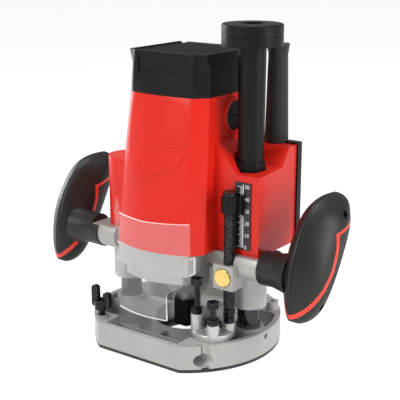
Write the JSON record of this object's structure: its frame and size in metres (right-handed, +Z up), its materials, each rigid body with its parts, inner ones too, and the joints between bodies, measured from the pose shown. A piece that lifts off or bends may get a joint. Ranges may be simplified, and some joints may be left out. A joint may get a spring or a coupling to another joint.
{
  "type": "plunge router",
  "caption": "Hand-held plunge router: motor body with side handles sliding on spring-loaded columns over a flat base with a stop turret, depth scale, chip screen and height knob.",
  "frame": {"origin": "spindle axis at the underside of the base plate, as stored fully plunged", "axes": "+Z up along the spindle, -Y the front with the depth scale, the chip screen and the flat edge of the base, +X towards the handle with the height knob"},
  "size_m": [0.291, 0.151, 0.275],
  "materials": {
    "red": "semi-gloss moulded",
    "black": "satin moulded",
    "clear": "clear moulded sheet",
    "cast_paint": "light grey stove enamel on cast aluminium",
    "cast_bare": "as cast, satin",
    "steel": "zinc plated",
    "black_steel": "black oxide",
    "polished": "hard chromed, dark and polished",
    "brass": "turned",
    "rubber": "moulded, grained",
    "coral": "satin inlay",
    "plate_black": "phenolic sheet",
    "scale": "printed scale",
    "copper": "copper",
    "iron": "laminated iron",
    "carbon": "pressed carbon",
    "felt": "felt"
  },
  "bodies": {
    "base": {"base_plate": "plate_black", "base_plate_screws": "steel", "base_casting": "cast_paint", "left_column": "polished", "right_column": "polished", "column_wipers": "felt", "column_set_screw": "black_steel", "height_stud": "steel", "turret_pivot_screw": "black_steel"},
    "turret": {"stopper_turret": "cast_bare", "stop_lock_nuts": "black_steel"},
    "short_stop": {"short_stop_bolt": "black_steel"},
    "middle_stop": {"middle_stop_bolt": "black_steel"},
    "tall_stop": {"tall_stop_bolt": "black_steel"},
    "fence_screw": {"fence_thumb_screw": "black_steel"},
    "motor_unit": {"motor_bracket": "cast_bare", "guide_bushes": "brass", "left_column_spring": "steel", "right_column_spring": "steel", "lock_bolt": "steel", "scale_plate": "scale", "motor_housing": "red", "housing_screws": "steel", "top_cover": "black", "nameplate": "red", "rear_cover": "black", "cord_guard": "rubber", "spindle_bearings": "steel", "fan_baffle": "black", "handle_screws": "black_steel", "handle_bolts": "steel", "trigger_switch": "black", "stator": "iron", "bearing_bridge": "black", "brush_holders": "brass", "carbon_brushes": "carbon", "brush_caps": "black", "chip_deflector": "clear", "right_handle_inner": "black", "right_handle_outer": "black", "right_grip": "rubber", "right_inlay": "coral", "left_handle_inner": "black", "left_handle_outer": "black", "left_grip": "rubber", "left_inlay": "coral"},
    "height_carrier": {"height_nut": "black"},
    "height_knob": {"height_knob": "black"},
    "lock_lever": {"lock_lever": "black"},
    "depth_pointer": {"depth_pointer": "black"},
    "stop_pole": {"stop_pole": "black_steel"},
    "fast_feed": {"fast_feed_button": "brass"},
    "shaft_lock": {"shaft_lock_button": "black"},
    "trigger": {"trigger": "black"},
    "spindle_unit": {"spindle": "steel", "collet": "steel", "collet_nut": "black_steel", "fan": "black", "armature": "iron", "commutator": "copper"}
  },
  "joints": [
    {"name": "plunge", "type": "slide", "parent": "base", "child": "motor_unit", "axis": [0, 0, 1], "range_m": [0, 0.043], "deforming": ["left_column_spring", "right_column_spring"]},
    {"name": "height_setting", "type": "slide", "parent": "base", "child": "height_carrier", "axis": [0, 0, 1], "range_m": [0, 0.043]},
    {"name": "height_knob_turn", "type": "hinge", "parent": "height_carrier", "child": "height_knob", "pos_m": [0.064, 0, 0.265], "axis": [0, 0, 1], "continuous": true},
    {"name": "turret_turn", "type": "hinge", "parent": "base", "child": "turret", "pos_m": [0.0503, -0.0322, 0.0257], "axis": [0, 0, 1], "range_deg": [-90, 38]},
    {"name": "short_stop_turn", "type": "hinge", "parent": "turret", "child": "short_stop", "pos_m": [0.06153, -0.02545, 0.03], "axis": [0, 0, 1], "continuous": true},
    {"name": "middle_stop_turn", "type": "hinge", "parent": "turret", "child": "middle_stop", "pos_m": [0.05781, -0.04293, 0.03], "axis": [0, 0, 1], "continuous": true},
    {"name": "tall_stop_turn", "type": "hinge", "parent": "turret", "child": "tall_stop", "pos_m": [0.03957, -0.03971, 0.03], "axis": [0, 0, 1], "continuous": true},
    {"name": "fence_screw_turn", "type": "hinge", "parent": "base", "child": "fence_screw", "pos_m": [-0.05, -0.0565, 0.03], "axis": [0, 0, 1], "continuous": true},
    {"name": "lock_lever_turn", "type": "hinge", "parent": "motor_unit", "child": "lock_lever", "pos_m": [0.072, 0.0268, 0.075], "axis": [0, 1, 0], "range_deg": [-25, 45]},
    {"name": "depth_setting", "type": "slide", "parent": "motor_unit", "child": "depth_pointer", "axis": [0, 0, 1], "range_m": [0, 0.03]},
    {"name": "stop_pole_turn", "type": "hinge", "parent": "depth_pointer", "child": "stop_pole", "pos_m": [0.0615, -0.0255, 0.095], "axis": [0, 0, 1], "continuous": true},
    {"name": "fast_feed_press", "type": "slide", "parent": "motor_unit", "child": "fast_feed", "axis": [0, 1, 0], "range_m": [0, 0.0022], "stiffness_N_per_m": 600, "springref_m": -0.001},
    {"name": "shaft_lock_press", "type": "slide", "parent": "motor_unit", "child": "shaft_lock", "axis": [0, -1, 0], "range_m": [0, 0.0022], "stiffness_N_per_m": 600, "springref_m": -0.001},
    {"name": "trigger_pull", "type": "slide", "parent": "motor_unit", "child": "trigger", "axis": [0, -0.8572, 0.515], "range_m": [0, 0.005], "stiffness_N_per_m": 500, "springref_m": -0.001},
    {"name": "spindle_spin", "type": "hinge", "parent": "motor_unit", "child": "spindle_unit", "pos_m": [0, 0, 0.1], "axis": [0, 0, 1], "continuous": true}
  ],
  "couplings": [
    {"joint": "height_setting", "follows": "plunge", "ratio": 1}
  ]
}
